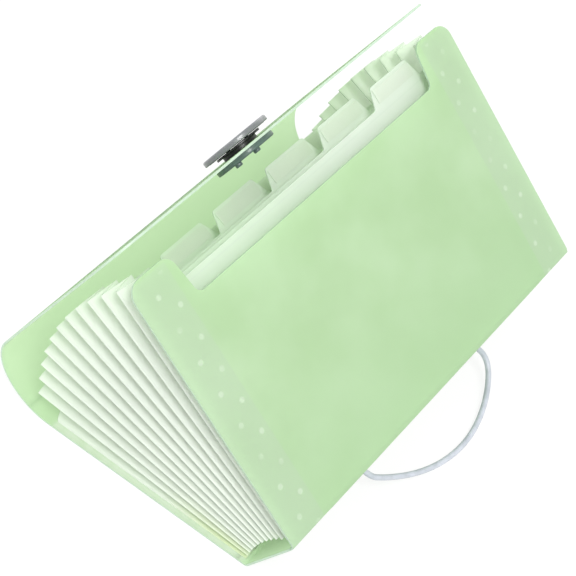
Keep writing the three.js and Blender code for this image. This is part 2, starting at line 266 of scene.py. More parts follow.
def sheetMaterial(name, look, shade=None):
    # a cloudy tint, then the piece's own tints with painted light and shade, its welded flange and its rows
    # of weld dots
    made, base = newMaterial(name)
    place = sheetPlace(base)
    across, up = place.part("X"), place.part("Y")
    cloud = place.noise(look["mottle"], 3.0, 0.55).fade(0.3, 0.72)
    colour = cloud.between(linear(look["deep"]), linear(look["tint"]))
    if shade:
        colour = shade(across, up, colour)
    height = place.noise(look["grain"], 2.0) * look["grainHeight"]
    if "flange" in look:
        flange = look["flange"]
        beside = abs(across).fade(flange["from"], flange["from"] + flange["edge"])
        lying = beside * up.fade(flange["to"] + flange["edge"], flange["to"])
        colour = (lying * flange["share"]).between(colour, linear(flange["colour"]))
    if "welds" in look:
        welds = look["welds"]
        dots = weldDots(place, across, up, welds) * up.fade(welds["to"] + 0.1, welds["to"])
        colour = (dots * welds["share"]).between(colour, linear(welds["colour"]))
        height = height - dots * welds["depth"]
    rough = look["roughness"] + place.noise(look["mottle"] * 5, 2.0) * look["unevenRoughness"]
    finishMaterial(base, colour, rough, height.bump(), look["glow"], look.get("inner", look["tint"]),
                   {"IOR": look["ior"]})
    return made


def edgeMaterial(name, tint, deep):
    # the cut edge of a sheet, paler where light runs out of it
    made, base = newMaterial(name)
    streak = sheetPlace(base).noise(edgeLook["streaks"], 3.0).fade(0.3, 0.7)
    rough = edgeLook["roughness"] + streak * edgeLook["unevenRoughness"]
    finishMaterial(base, streak.between(linear(deep), linear(tint)), rough, None, edgeLook["glow"], tint)
    return made


# Surfaces: grids of points made into closed shells

shell = {
    "arcStep": 0.12,        # radians between the points of an outline's arc
    "bendStep": 0.06,       # radians between the points of a sheet's bend
    "slopeReach": 0.3,      # how far to each side a bend's slope is taken
    "runOn": 10,            # how far a bend's line goes on past the end of its sheet
    "sharp": 35,            # degrees above which an edge isn't smoothed
    "tiny": 1e-6,
}


def setMesh(name, points, quads, place=None, material=None, edge=None, edgeFaces=0, sharp=shell["sharp"]):
    mesh = bpy.data.meshes.new(name)
    mesh.from_pydata(np.asarray(points, float).reshape(-1, 3).tolist(), [], quads.tolist())
    if place is not None:
        layer = mesh.attributes.new("sheetPlace", "FLOAT_VECTOR", "POINT")
        flat = np.zeros((len(mesh.vertices), 3), np.float32)
        flat[:, :2] = place
        layer.data.foreach_set("vector", flat.ravel())
    for finish in (material, edge):
        if finish is not None:
            mesh.materials.append(finish)
    mesh.polygons.foreach_set("use_smooth", np.ones(len(mesh.polygons), bool))
    if edge is not None and edgeFaces:
        kinds = np.zeros(len(mesh.polygons), np.int32)
        kinds[-edgeFaces:] = 1
        mesh.polygons.foreach_set("material_index", kinds)
    mesh.update()
    mesh.set_sharp_from_angle(angle=math.radians(sharp))
    piece = bpy.data.objects.new(name, mesh)
    bpy.context.scene.collection.objects.link(piece)
    return piece


def facing(points, quads):
    # the faces turned over where the signed volume they enclose is negative
    a, b, c, d = (points[quads[:, i]] for i in range(4))
    volume = np.einsum("ij,ij->", a, np.cross(b, c)) + np.einsum("ij,ij->", a, np.cross(c, d))
    return quads if volume > 0 else quads[:, ::-1]


def closedShell(outer, inner):
    # two grids of points with the same corners, joined all round their rims; the rim's faces come last
    columns, rows = outer.shape[:2]
    index = np.arange(columns * rows).reshape(columns, rows)
    top = np.stack([index[:-1, :-1], index[1:, :-1], index[1:, 1:], index[:-1, 1:]], -1).reshape(-1, 4)
    bottom = top[:, ::-1] + columns * rows
    loop = np.concatenate([index[:, 0], index[-1, 1:], index[-2::-1, -1], index[0, -2:0:-1]])
    after = np.roll(loop, -1)
    rim = np.stack([loop, loop + columns * rows, after + columns * rows, after], -1)
    points = np.concatenate([outer.reshape(-1, 3), inner.reshape(-1, 3)])
    return points, facing(points, np.concatenate([top, bottom, rim])), len(rim)


def distances(line):
    # how far along a line of points each point lies
    return np.concatenate([[0], np.cumsum(np.linalg.norm(np.diff(line, axis=0), axis=1))])


def roundedLine(corners, step=shell["arcStep"]):
    # straight runs joined by arcs, from (x, y, radius) corners, with a point about every step
    corners = [np.array(corner, float) for corner in corners]
    line = [corners[0][:2]]
    for before, corner, after in zip(corners, corners[1:], corners[2:]):
        come, go = corner[:2] - before[:2], after[:2] - corner[:2]
        come, go = come / np.linalg.norm(come), go / np.linalg.norm(go)
        turn = math.atan2(come[0] * go[1] - come[1] * go[0], come @ go)
        radius = corner[2]
        if radius < shell["tiny"] or abs(turn) < shell["tiny"]:
            line.append(corner[:2])
            continue
        start = corner[:2] - come * radius * math.tan(abs(turn) / 2)
        side = np.array([-come[1], come[0]]) * math.copysign(1, turn)
        share = np.linspace(0, 1, max(3, int(abs(turn) / step)) + 1)[:, None] * abs(turn)
        line.extend(start + radius * (np.sin(share) * come + (1 - np.cos(share)) * side))
    line.append(corners[-1][:2])
    return np.array(line)


def roundedTop(corners, step):
    # an outline's upper line as (x, v) points close together, from its left to its right end
    line = roundedLine(corners)
    at = distances(line)
    many = np.unique(np.round(np.concatenate([at, np.arange(0, at[-1], step)]), 4))
    return np.stack([np.interp(many, at, line[:, i]) for i in (0, 1)], -1)


def levelUnder(top, v):
    # a straight lower outline with the same x as the upper one
    return np.stack([top[:, 0], np.full(len(top), float(v))], -1)


class Bend:
    # A sheet's mid line in the YZ plane, from (y, z, radius) corners; v is the distance along it.
    def __init__(self, corners, start=0.0):
        self.line = roundedLine(corners, shell["bendStep"])
        self.v = distances(self.line) + start

    def at(self, v):
        # places, and unit normals to the left of the way along the line
        reach = shell["slopeReach"]
        place = np.stack([np.interp(v, self.v, self.line[:, i]) for i in (0, 1)], -1)
        near = np.stack([np.interp(v + reach, self.v, self.line[:, i])
                         - np.interp(v - reach, self.v, self.line[:, i]) for i in (0, 1)], -1)
        near /= np.linalg.norm(near, axis=-1, keepdims=True)
        return place, np.stack([-near[..., 1], near[..., 0]], -1)

    def point(self, v):
        place = self.at(np.array(v))[0] * mm + backCrease
        return (0.0, *place.tolist())


def bentSheet(name, bend, low, high, thickness, rows, finish, edge, bow=None):
    # x runs across and v along the bend: every column of the grid goes from the low to the high
    # outline, both given as (x, v) points with the same x, and lies half a thickness off the mid line
    share = np.linspace(0, 1, rows)[None, :]
    v = low[:, 1, None] + (high[:, 1] - low[:, 1])[:, None] * share
    x = np.broadcast_to(high[:, 0, None], v.shape)
    place, normal = bend.at(v)
    lift = bow(x, v) if bow else np.zeros_like(v)
    shells = []
    for way in (1, -1):
        flat = place + normal * (lift + way * thickness / 2)[..., None]
        shells.append(np.stack([x, flat[..., 0], flat[..., 1]], -1) * mm + creaseOnAxis)
    points, quads, rim = closedShell(*shells)
    where = np.tile(np.stack([x, v], -1).reshape(-1, 2), (2, 1))
    return setMesh(name, points, quads, where, finish, edge, rim)


# Cover sheet: back panel, rolled flap strip and flap, spine and front panel

cover = {
    "width": 180,
    "thickness": 0.8,
    "backStart": 4,         # where the back's sheet starts, clear of the spine's bend
    "backFlat": 97.2,
    "rollRadius": 22.2,
    "stripTurn": 34.4,      # degrees of roll before the strip's crease
    "flapHeading": 123.5,
    "stripStraight": 1,     # flat run after the roll, up to the flap's crease
    "flapLength": 101,
    "flapCorner": 14,
    "creaseReach": 3,       # how far a crease's bend reaches to each side of it
    "flapOverlap": 0.2,     # how far before its crease's bend the flap's sheet starts
    "columns": 61,
    "backRows": 60,
    "stripRows": 30,
    "flapRows": 70,
    "outlineStep": 1.4,
    "tint": (223, 242, 214),
    "deep": (216, 238, 206),
    "edgeTint": (206, 222, 210),
    "edgeDeep": (196, 214, 198),
}
backLook = {
    **sheetFinish,
    "tint": cover["tint"],
    "deep": cover["deep"],
    "inner": (225, 242, 216),
    "glow": 0.82,
    "welds": weldRows,
    "flange": {"from": 72, "to": 95.2, "edge": 0.5, "share": 0.6, "colour": (232, 245, 226)},
    # painted light on the flap: its paler tint, where that fades in and how much of it shows
    "flapLitTint": (231, 243, 225),
    "flapLitFade": (105, 160),
    "flapLitShare": 0.85,
}
halfWidth = cover["width"] / 2
rollTurn = math.radians(cover["flapHeading"])
stripAt = cover["backFlat"] + cover["rollRadius"] * math.radians(cover["stripTurn"])
flapAt = cover["backFlat"] + cover["rollRadius"] * rollTurn + cover["stripStraight"]
flapEnd = flapAt + cover["flapLength"]
rollTangent = cover["rollRadius"] * math.tan(rollTurn / 2)
rollCorner = np.array([cover["backFlat"] + rollTangent, 0])
flapTip = rollCorner + along(cover["flapHeading"]) * (rollTangent + cover["flapLength"] + shell["runOn"])
backBend = Bend([(0, 0, 0), (*rollCorner, cover["rollRadius"]), (*flapTip, 0)])


def flapPaintedLight(across, up, colour):
    # painted light: the single sheet is painted paler from the roll up to the flap, where light shines
    # through it
    paler = up.fade(*backLook["flapLitFade"]) * backLook["flapLitShare"]
    return paler.between(colour, linear(backLook["flapLitTint"]))


backFinish = sheetMaterial("green_back_sheet", backLook, flapPaintedLight)
edgeFinish = edgeMaterial("green_sheet_edge", cover["edgeTint"], cover["edgeDeep"])


def straightAcross(v):
    x = np.linspace(-halfWidth, halfWidth, cover["columns"])
    return np.stack([x, np.full(len(x), float(v))], -1)


def addBackSheets():
    reach, thickness, corner = cover["creaseReach"], cover["thickness"], cover["flapCorner"]
    stripStart, seam = stripAt - reach, flapAt - reach - cover["flapOverlap"]
    back = bentSheet("back_panel_sheet", backBend, straightAcross(cover["backStart"]),
                     straightAcross(stripStart), thickness, cover["backRows"], backFinish, edgeFinish)
    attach(back, "cover_back")
    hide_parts("back_panel")
    strip = bentSheet("flap_strip_sheet", backBend, straightAcross(stripStart),
                      straightAcross(seam), thickness, cover["stripRows"], backFinish, edgeFinish)
    backBend.point(stripStart)
    backBend.point(stripAt + reach)
    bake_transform(strip)
    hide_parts("flap_strip")
    top = roundedTop([(-halfWidth, flapEnd - corner, 0), (-halfWidth, flapEnd, corner),
                      (halfWidth, flapEnd, corner), (halfWidth, flapEnd - corner, 0)], cover["outlineStep"])
    flap = bentSheet("flap_panel_sheet", backBend, levelUnder(top, seam), top,
                     thickness, cover["flapRows"], backFinish, edgeFinish)
    backBend.point(flapAt - reach)
    backBend.point(flapAt + reach)
    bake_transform(flap)
    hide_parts("flap_panel")


addBackSheets()
print("back panel and flap made")

spine = {
    "depth": 37.5,
    "heading": 121.5,
    "creaseRadius": 1.6,
    "tuck": 4,              # how far its sheet runs on past the crease, up to the back's
    "blendFrom": -3.5,      # where the crease's bend starts and ends, from the crease
    "blendTo": 2.5,
    "lap": 2.2,             # how far the front panel's turned edge runs down the spine
    "seam": 0.75,           # gap between its sheet and that turned edge
    "rows": 40,
}
front = {
    "heading": 47,
    "height": 106.6,
    "corner": 6,
    "ear": 20,              # from a side edge to the cutout
    "cutoutDepth": 17,
    "cutoutSlope": 2.3,
    "cutoutFootRadius": 3,
    "cutoutTopRadius": 4.8,
    "creaseRadius": 1.6,
    "bow": 0.9,
    "rows": 60,
    "outlineStep": 0.9,
}
frontLook = {
    **sheetFinish,
    "tint": (202, 227, 190),
    "deep": (189, 217, 174),
    "glow": 0.45,
    "welds": {**weldRows, "share": 0.45, "to": 104},
    "flange": {"from": 72.5, "to": 105.2, "edge": 0.5, "share": 0.6, "colour": (197, 216, 190)},
    # painted shade towards the spine and one lower corner
    "lowShadeAndGlowTint": (187, 217, 174),
    "lowShadeAndGlowShare": 0.7,
    "cornerShadeShare": 0.2,
    "rimTint": (182, 208, 176),
    "rimShare": 0.5,
}


def frontShade(across, up, colour):
    # painted shade: deeper green towards the spine and one lower corner; and a darker rim at the side edges
    low = up.fade(60, -4) * frontLook["lowShadeAndGlowShare"]
    corner = (across - up * 0.8).fade(-10, 110) * frontLook["cornerShadeShare"]
    colour = (low + corner).least(1.0).between(colour, linear(frontLook["lowShadeAndGlowTint"]))
    rim = abs(across).fade(halfWidth - 1.4, halfWidth - 0.4) * frontLook["rimShare"]
    return rim.between(colour, linear(frontLook["rimTint"]))


spineLook = {**sheetFinish, "tint": cover["tint"], "deep": cover["deep"]}
spineFinish = sheetMaterial("green_spine_sheet", spineLook)
frontFinish = sheetMaterial("green_front_sheet", frontLook, frontShade)
frontCrease = along(spine["heading"]) * spine["depth"]


def addSpine():
    tuck = spine["tuck"]
    bend = Bend([(tuck, 0, 0), (0, 0, spine["creaseRadius"]), (*frontCrease, 0)], -tuck)
    end = spine["depth"] - spine["lap"] - spine["seam"]
    sheet = bentSheet("spine_sheet", bend, straightAcross(-tuck), straightAcross(end),
                      cover["thickness"], spine["rows"], spineFinish, edgeFinish)
    bend.point(spine["blendFrom"])
    bend.point(spine["blendTo"])
    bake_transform(sheet)
    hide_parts("spine_panel")


def addFront():
    top, corner, lap = front["height"], front["corner"], spine["lap"]
    ear, floor = halfWidth - front["ear"], top - front["cutoutDepth"]
    foot = ear - front["cutoutSlope"]
    earRound, footRound = front["cutoutTopRadius"], front["cutoutFootRadius"]
    upper = roundedTop([
        (-halfWidth, top - corner, 0), (-halfWidth, top, corner), (-ear, top, earRound),
        (-foot, floor, footRound), (foot, floor, footRound), (ear, top, earRound),
        (halfWidth, top, corner), (halfWidth, top - corner, 0)], front["outlineStep"])
    lapStart = frontCrease - along(spine["heading"]) * lap
    tip = frontCrease + along(front["heading"]) * (top + shell["runOn"])
    bend = Bend([(*lapStart, 0), (*frontCrease, front["creaseRadius"]), (*tip, 0)], -lap)

    def bow(x, v):
        # the filled pockets push the middle of the sheet outwards a little
        return front["bow"] * np.cos(np.pi * x / cover["width"]) * np.sin(np.pi * np.clip(v, 0, top) / top)

    sheet = bentSheet("front_panel_sheet", bend, levelUnder(upper, -lap), upper, cover["thickness"],
                      front["rows"], frontFinish, edgeFinish, bow)
    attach(sheet, "cover_front")
    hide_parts("front_panel")


addSpine()
addFront()
print("spine and front panel made")


# Elastic loop: a round cord out of the spine, down in a bow to the table and back in

cord = {
    "diameter": 2.3,
    "anchor": 38,           # from the middle of the spine to each hole
    "stand": 1.4,           # from the spine's mid plane to the cord's end
    "straight": 2.4,
    "sides": 24,
    "steps": 14,            # points to a stretch of the route
    "tint": (192, 197, 206),
    "deep": (176, 182, 190),
    "inner": (186, 191, 199),
    "glow": 0.1,
    "roughness": 0.3,
    "unevenRoughness": 0.12,
    "ribHeight": 0.00004,   # metres
    "coat": 0.35,
}
# the bow's places, from the right hole round to the left one
cordBow = [
    (38.4, -15.9, 12.1), (37.8, -18.4, 9.9), (35.7, -20.9, 7.8), (32.2, -23.4, 5.9),
    (27.6, -25.8, 4.3), (22.0, -28.0, 3.1), (15.8, -29.7, 2.2), (9.4, -30.7, 1.5),
    (2.8, -30.8, 1.0), (-3.8, -30.0, 0.9), (-10.4, -28.3, 1.1), (-16.8, -26.0, 2.1),
    (-22.8, -23.4, 3.9), (-28.4, -20.7, 6.4), (-33.0, -18.4, 9.0), (-36.5, -16.1, 11.5),
]


def smoothLine(points, steps):
    # a centripetal Catmull-Rom curve through the points, with end points mirrored beyond its ends
    points = np.array(points, float)
    padded = np.concatenate([[2 * points[0] - points[1]], points, [2 * points[-1] - points[-2]]])
    gap = np.sqrt(np.linalg.norm(np.diff(padded, axis=0), axis=1))[:, None]
    p0, p1, p2, p3 = padded[:-3], padded[1:-2], padded[2:-1], padded[3:]
    g0, g1, g2 = gap[:-2], gap[1:-1], gap[2:]
    t1 = ((p1 - p0) / g0 - (p2 - p0) / (g0 + g1) + (p2 - p1) / g1) * g1
    t2 = ((p2 - p1) / g1 - (p3 - p1) / (g1 + g2) + (p3 - p2) / g2) * g1
    share = np.linspace(0, 1, steps, endpoint=False)[None, :, None]
    p1, p2, t1, t2 = (value[:, None, :] for value in (p1, p2, t1, t2))
    curve = (p1 + t1 * share + (3 * (p2 - p1) - 2 * t1 - t2) * share ** 2
             + (2 * (p1 - p2) + t1 + t2) * share ** 3)
    return np.concatenate([curve.reshape(-1, 3), points[-1:]])


def tube(line, radius, sides, square):
    # rings of points around a line, kept from twisting by a direction square to the plane of its bow
    way = np.gradient(line, axis=0)
    way /= np.linalg.norm(way, axis=1, keepdims=True)
    aside = np.cross(way, square)
    aside /= np.linalg.norm(aside, axis=1, keepdims=True)
    other = np.cross(way, aside)
    angle = np.linspace(0, 2 * np.pi, sides, endpoint=False)[None, :, None]
    return line[:, None, :] + radius * (np.cos(angle) * aside[:, None] + np.sin(angle) * other[:, None])


def ringsMesh(name, rings, material):
    # a run of closed rings with a cap at each end
    count, sides = rings.shape[:2]
    index = np.arange(count * sides).reshape(count, sides)
    following = np.roll(index, -1, axis=1)
    walls = np.stack([index[:-1], following[:-1], following[1:], index[1:]], -1).reshape(-1, 4)
    points = np.concatenate([rings.reshape(-1, 3), rings[0].mean(0)[None], rings[-1].mean(0)[None]])
    first, last = count * sides, count * sides + 1
    even, odd, further = (np.roll(index, -shift, axis=1)[:, ::2] for shift in (0, 1, 2))
    low = np.stack([np.full(sides // 2, first), further[0], odd[0], even[0]], -1)
    high = np.stack([np.full(sides // 2, last), even[-1], odd[-1], further[-1]], -1)
    quads = facing(points, np.concatenate([walls, low, high]))
    return setMesh(name, points, quads, None, material)


def cordMaterial():
    made, base = newMaterial("pale_elastic_cord")
    place = objectPlace(base)
    cloud = place.noise(260, 3.0).fade(0.3, 0.7)
    ribs = place.noise(1500, 2.0)
    colour = cloud.between(linear(cord["deep"]), linear(cord["tint"]))
    rough = cord["roughness"] + cloud * cord["unevenRoughness"]
    finishMaterial(base, colour, rough, (ribs * cord["ribHeight"]).bump(), cord["glow"], cord["inner"],
                   {"Coat Weight": cord["coat"]})
    return made


def addCord():
    out = along(spine["heading"] + 90)
    middle = frontCrease / 2
    ends = []
    for x in (cord["anchor"], -cord["anchor"]):
        ends.append([(x, *(middle + out * (cord["stand"] + reach))) for reach in (0, cord["straight"])])
    route = np.array([*ends[0], *cordBow, *ends[1][::-1]]) * mm + creaseOnAxis
    line = smoothLine(route, cord["steps"])
    rings = tube(line, cord["diameter"] / 2 * mm, cord["sides"], (0, *along(spine["heading"])))
    piece = ringsMesh("elastic_loop", rings, cordMaterial())
    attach(piece, "spine")
    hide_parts("elastic_cord")


addCord()


# Pleated side walls: thirteen cells to a side, each folded out to a rounded crest between two
# dividers. Fold lines fan out from the spine: even folds are the outer crests.

pleats = {
    "pockets": 13,
    "inset": 1.06,          # from each crease to the first fold, along the spine
    "inner": 76,
    "facet": 12,
    "thickness": 0.4,
    "flangeInner": 72,
    "flangeGap": 0.6,
    "flangeColumns": 6,
    "bottom": 2,
    "bottomRise": 3.2,
    "topInset": 1.4,
    "topRise": 4.4,
    "rollInset": 2,         # how far short of the roll the first fold ends
    "rollStep": 6,          # how much higher each following fold may end
    "belly": 0.35,          # how far a facet bulges
    "crestRound": 0.15,     # share of a facet that its crest's curve takes
    "across": 13,           # points to a facet
    "rows": 36,
    "sharp": 60,            # degrees
    "blendHeight": 96,      # where a cell's two pockets are measured apart
    "edgeTint": (222, 230, 222),
    "edgeDeep": (208, 218, 208),
}
pleatLook = {
    **sheetFinish,
    "tint": (245, 249, 243),
    "deep": (241, 246, 239),
    "glow": 0.6,
    "roughness": 0.42,
    # painted green light from the back panel on the nearest folds
    "backGreenLightTint": (243, 249, 240),
    "backGreenLightShare": 0.6,
    "crestTint": (248, 250, 247),
    "crestShare": 0.5,
    # painted yellow green glow low down at the back
    "lowShadeAndGlowTint": (232, 244, 196),
    "lowShadeAndGlowShare": 0.8,
}
foldCount = 2 * (pleats["pockets"] - 1)
foldSpan = spine["depth"] - 2 * pleats["inset"]


def foldPlace(fold, height):
    # a fold leaves the spine at its share of the depth, and runs at its share of the front's heading
    share = fold / foldCount
    base = along(spine["heading"]) * (pleats["inset"] + share * foldSpan)[..., None]
    return base + along(share * front["heading"]) * height[..., None]


def foldPitch(fold, height):
    # how far apart two neighbouring folds lie: the part of their distance on the spine that is
    # square to them, and the height times the angle between them
    between = np.radians(spine["heading"] - fold / foldCount * front["heading"])
    return foldSpan / foldCount * np.sin(between) + height * math.radians(front["heading"]) / foldCount


def foldLimits(fold):
    # a fold's two ends: both curves bow up towards the middle folds, and the upper ends of the
    # first folds stop short of the roll
    bowed = 1 - (2 * fold / foldCount - 1) ** 2
    low = pleats["bottom"] + pleats["bottomRise"] * bowed
    high = front["height"] - pleats["topInset"] + pleats["topRise"] * bowed
    rollStart = cover["backFlat"] - pleats["rollInset"] + pleats["rollStep"] * fold
    return low, np.minimum(high, rollStart)


def pleatShade(fold, height, colour):
    # painted light: green light from the back panel on the nearest folds, and a painted yellow green glow
    # low down at the back; paler crests
    backGreenLight = fold.fade(15, 2) * pleatLook["backGreenLightShare"]
    low = fold.fade(6, 0) * height.fade(48, 8)
    colour = backGreenLight.between(colour, linear(pleatLook["backGreenLightTint"]))
    crest = abs(fold % 2.0 - 1.0).fade(0.55, 1.0) * pleatLook["crestShare"]
    colour = crest.between(colour, linear(pleatLook["crestTint"]))
    return (low * pleatLook["lowShadeAndGlowShare"]).between(colour, linear(pleatLook["lowShadeAndGlowTint"]))


pleatFinish = sheetMaterial("frosted_pleat_sheet", pleatLook, pleatShade)
pleatEdge = edgeMaterial("frosted_sheet_edge", pleats["edgeTint"], pleats["edgeDeep"])


def pleatSurface(folds):
    # a fold number runs across and height runs along: x goes out by the facet's depth at even folds,
    # and its crest is eased by a hyperbola
    share = np.linspace(0, 1, pleats["rows"])[None, :]
    fold = np.broadcast_to(folds[:, None], (len(folds), pleats["rows"]))
    low, high = foldLimits(fold)
    height = low + (high - low) * share
    depth = np.sqrt(pleats["facet"] ** 2 - foldPitch(fold, height) ** 2)
    fromCrest = np.abs(fold - 2 * np.round(fold / 2))
    eased = np.sqrt(fromCrest ** 2 + pleats["crestRound"] ** 2) - pleats["crestRound"]
    eased /= math.sqrt(1 + pleats["crestRound"] ** 2) - pleats["crestRound"]
    belly = pleats["belly"] * np.sin(np.pi * fromCrest) * np.sin(np.pi * share)
    x = pleats["inner"] + depth * (1 - eased) + belly
    place = foldPlace(fold, height)
    return np.stack([x, place[..., 0], place[..., 1]], -1), fold, height


def addFlange(grids, first):
    # the flat strip by which an end cell lies on its panel, before its first fold or after its last
    edge, count = (0 if first else -1), pleats["flangeColumns"]
    strips = [np.repeat(grid[edge][None], count, axis=0) for grid in grids]
    outer = grids[0][edge, :, 0] - pleats["flangeGap"]
    strips[0][..., 0] = np.linspace(pleats["flangeInner"], outer, count)
    if first:
        return [np.concatenate(pair) for pair in zip(strips, grids)]
    return [np.concatenate([grid, strip[::-1]]) for strip, grid in zip(strips, grids)]


def surfaceNormals(grid):
    across, up = np.gradient(grid, axis=0), np.gradient(grid, axis=1)
    normal = np.cross(across, up)
    return normal / np.linalg.norm(normal, axis=-1, keepdims=True)


def addPleat(side, way, cell):
    last = pleats["pockets"] - 1
    facet = np.linspace(0, 1, pleats["across"])
    start, stop = max(2 * cell - 1, 0), min(2 * cell + 1, foldCount)
    grids = pleatSurface(np.unique(np.concatenate([start + facet, stop - 1 + facet])))
    if cell in (0, last):
        grids = addFlange(grids, cell == 0)
    grid, fold, height = grids
    normal = surfaceNormals(grid) * pleats["thickness"] / 2
    shells = [face * np.array([way, 1, 1]) * mm + creaseOnAxis for face in (grid + normal, grid - normal)]
    points, quads, rim = closedShell(*shells)
    where = np.tile(np.stack([fold, height], -1).reshape(-1, 2), (2, 1))
    piece = setMesh(f"{side}_pleat_{cell + 1:02d}", points, quads, where, pleatFinish, pleatEdge, rim,
                    pleats["sharp"])
    # the places where the cell meets one pocket at its first fold and the next pocket at its last, measured
    # square to the cell near its upper end; nothing uses them
    near, far = foldPlace(np.array([start, stop], float), np.array([pleats["blendHeight"]]))
    square = along(front["heading"] * (start + stop) / 2 / foldCount + 90)
    far = near + square * ((far - near) @ square)
    ends = [(way * pleats["inner"] * mm, *(end * mm + backCrease).tolist()) for end in (near, far)]
    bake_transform(piece)
    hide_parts(f"{side}_bellows")


for side, way in (("left", -1), ("right", 1)):
    for cell in range(pleats["pockets"]):
        addPleat(side, way, cell)
print("pleated side walls made")


# Dividers, with staggered index tabs and paper slips

divider = {
    "halfWidth": 75.6,
    "topInset": 2.2,
    "tabHeight": 8,
    "tabWidth": 28,
    "tabSlant": 3,
    "tabPositions": 6,
    "tabMargin": 4.6,
    "tabRound": 1.3,
    "corner": 2,
    "thickness": 0.5,
    "bow": 0.5,
    "bowMean": 0.4,         # a sheet bows by this share, and by a share of its own
    "bowSpread": 0.6,
    "bowTurn": 2.1,         # radians from one sheet's share to the next
    "rows": 26,
    "outlineStep": 1.6,
}
dividerLook = {
    **sheetFinish,
    "tint": (240, 247, 238),
    "deep": (236, 244, 234),
    "glow": 0.6,
    "roughness": 0.4,
    "welds": {**weldRows, "outer": 73.4, "inner": 70.5, "radius": 0.8, "to": 92,
              "colour": (238, 242, 238), "depth": 0.00005},
    "greyTint": (244, 245, 244),
    "lineTint": (230, 234, 231),
    "lineHeight": 94.2,
    "lineShare": 0.6,
}
paper = {
    "tint": (240, 244, 237),
    "deep": (234, 239, 231),
    "inner": (237, 242, 234),
    "glow": 0.6,
    "roughness": 0.85,
    "unevenRoughness": 0.1,
    "fibreHeight": 0.00003,  # metres
}


def dividerShade(across, up, colour):
    # mint green where the cover shines through at one end, light grey at the other; a pressed line
    # runs under the tabs
    colour = across.fade(-30, 35).between(colour, linear(dividerLook["greyTint"]))
    line = abs(up - dividerLook["lineHeight"]).fade(0.5, 0.1) * dividerLook["lineShare"]
    return line.between(colour, linear(dividerLook["lineTint"]))


dividerFinish = sheetMaterial("frosted_divider_sheet", dividerLook, dividerShade)


def paperMaterial():
    made, base = newMaterial("white_paper_slip")
    fibre = objectPlace(base).noise(1800, 4.0, 0.6)
    colour = fibre.fade(0.3, 0.7).between(linear(paper["deep"]), linear(paper["tint"]))
    rough = paper["roughness"] + fibre * paper["unevenRoughness"]
    finishMaterial(base, colour, rough, (fibre * paper["fibreHeight"]).bump(), paper["glow"],
                   paper["inner"])
    return made


def dressNode(node, material):
    data = frame["nodes"][node].data
    data.materials.clear()
    data.materials.append(material)


def addDividers():
    slipFinish = paperMaterial()
    top = front["height"] - divider["topInset"]
    body = top - divider["tabHeight"]
    wide, tab, slant = divider["halfWidth"], divider["tabWidth"] / 2, divider["tabSlant"]
    corner, tabRound = divider["corner"], divider["tabRound"]
    pitch = (2 * (wide - divider["tabMargin"]) - 2 * tab) / (divider["tabPositions"] - 1)
    for index in range(pleats["pockets"] - 1):
        fold = 2.0 * index + 1
        low = foldLimits(np.array(fold))[0]
        middle = (index % divider["tabPositions"] - (divider["tabPositions"] - 1) / 2) * pitch
        left, right = middle - tab, middle + tab
        upper = roundedTop([
            (-wide, body - corner, 0), (-wide, body, corner), (left, body, tabRound),
            (left + slant, top, tabRound), (right - slant, top, tabRound), (right, body, tabRound),
            (wide, body, corner), (wide, body - corner, 0)], divider["outlineStep"])
        base, tip = foldPlace(np.array([fold]), np.array([0.0, top + shell["runOn"]]))
        own = divider["bowSpread"] * math.sin(divider["bowTurn"] * index)
        sway = divider["bow"] * (divider["bowMean"] + own)

        def bow(x, v):
            # a slack sheet between its two welded sides
            return sway * np.cos(np.pi * x / (2 * wide)) * np.sin(np.pi * np.clip(v / body, 0, 1))

        number = f"{index + 1:02d}"
        sheet = bentSheet(f"divider_sheet_{number}", Bend([(*base, 0), (*tip, 0)]), levelUnder(upper, low),
                          upper, divider["thickness"], divider["rows"], dividerFinish, pleatEdge, bow)
        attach(sheet, f"pocket_{number}")
        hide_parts(f"divider_{number}")
        dressNode(f"index_label_{number}", slipFinish)


addDividers()
print("dividers made")


# Button: cap and stepped spacer outside the flap, backing plate and two rivets inside it

button = {
    "height": 67,           # from the flap's crease
    "seat": 0.3,
    "clear": 0.12,          # what stays open between the flap's faces and the plastic
    "capRadius": 14.4,
    "capThickness": 2.2,
    "capRing": (2.6, 3.4),  # from the rim to the raised ring's inner slope
    "capDish": 0.25,
    "underRing": (1.6, 1.9),
    "underDish": 0.12,
    "wideRadius": 9.75,
    "wideThickness": 0.9,
    "narrowRadius": 7.5,
    "narrowThickness": 1.25,
    "backingRadius": 12.8,
    "backingThickness": 2,
    "backingRing": (2.2, 2.5),
    "backingDish": 0.15,
    "rivetSpacing": 10.4,
    "rivetRadius": 0.9,
    "rivetHead": 1.45,
    "rivetHeadThickness": 1.1,
    "rivetSocket": (0.35, 0.5),
    "rivetSocketDepth": 0.2,
    "shaftReach": 0.3,      # how far a rivet's shaft runs into the cap
    "headReach": 0.2,       # how far its head is sunk into the backing
    "pole": 0.02,           # how near the axis a turned profile starts
    "sides": 96,
    "rivetSides": 40,
}
buttonLook = {
    "cap": {"tint": (116, 117, 121), "deep": (108, 111, 114), "roughness": 0.3, "coat": 0.2},
    "spacer": {"tint": (22, 27, 26), "deep": (10, 13, 13), "roughness": 0.35, "coat": 0.0},
    "backing": {"tint": (94, 114, 112), "deep": (84, 104, 100), "roughness": 0.34, "coat": 0.15},
    "unevenRoughness": 0.15,
    "grainHeight": 0.00002,  # metres
}


def plasticMaterial(name, look):
    made, base = newMaterial(name)
    place = objectPlace(base)
    cloud = place.noise(140, 3.0, 0.6).fade(0.3, 0.7)
    grain = place.noise(5200, 2.0)
    scuffs = place.noise(900, 5.0, 0.7).fade(0.6, 0.75)
    colour = cloud.between(linear(look["deep"]), linear(look["tint"]))
    finishMaterial(base, colour, look["roughness"] + scuffs * buttonLook["unevenRoughness"],
                   (grain * buttonLook["grainHeight"]).bump(), settings={"Coat Weight": look["coat"]})
    return made


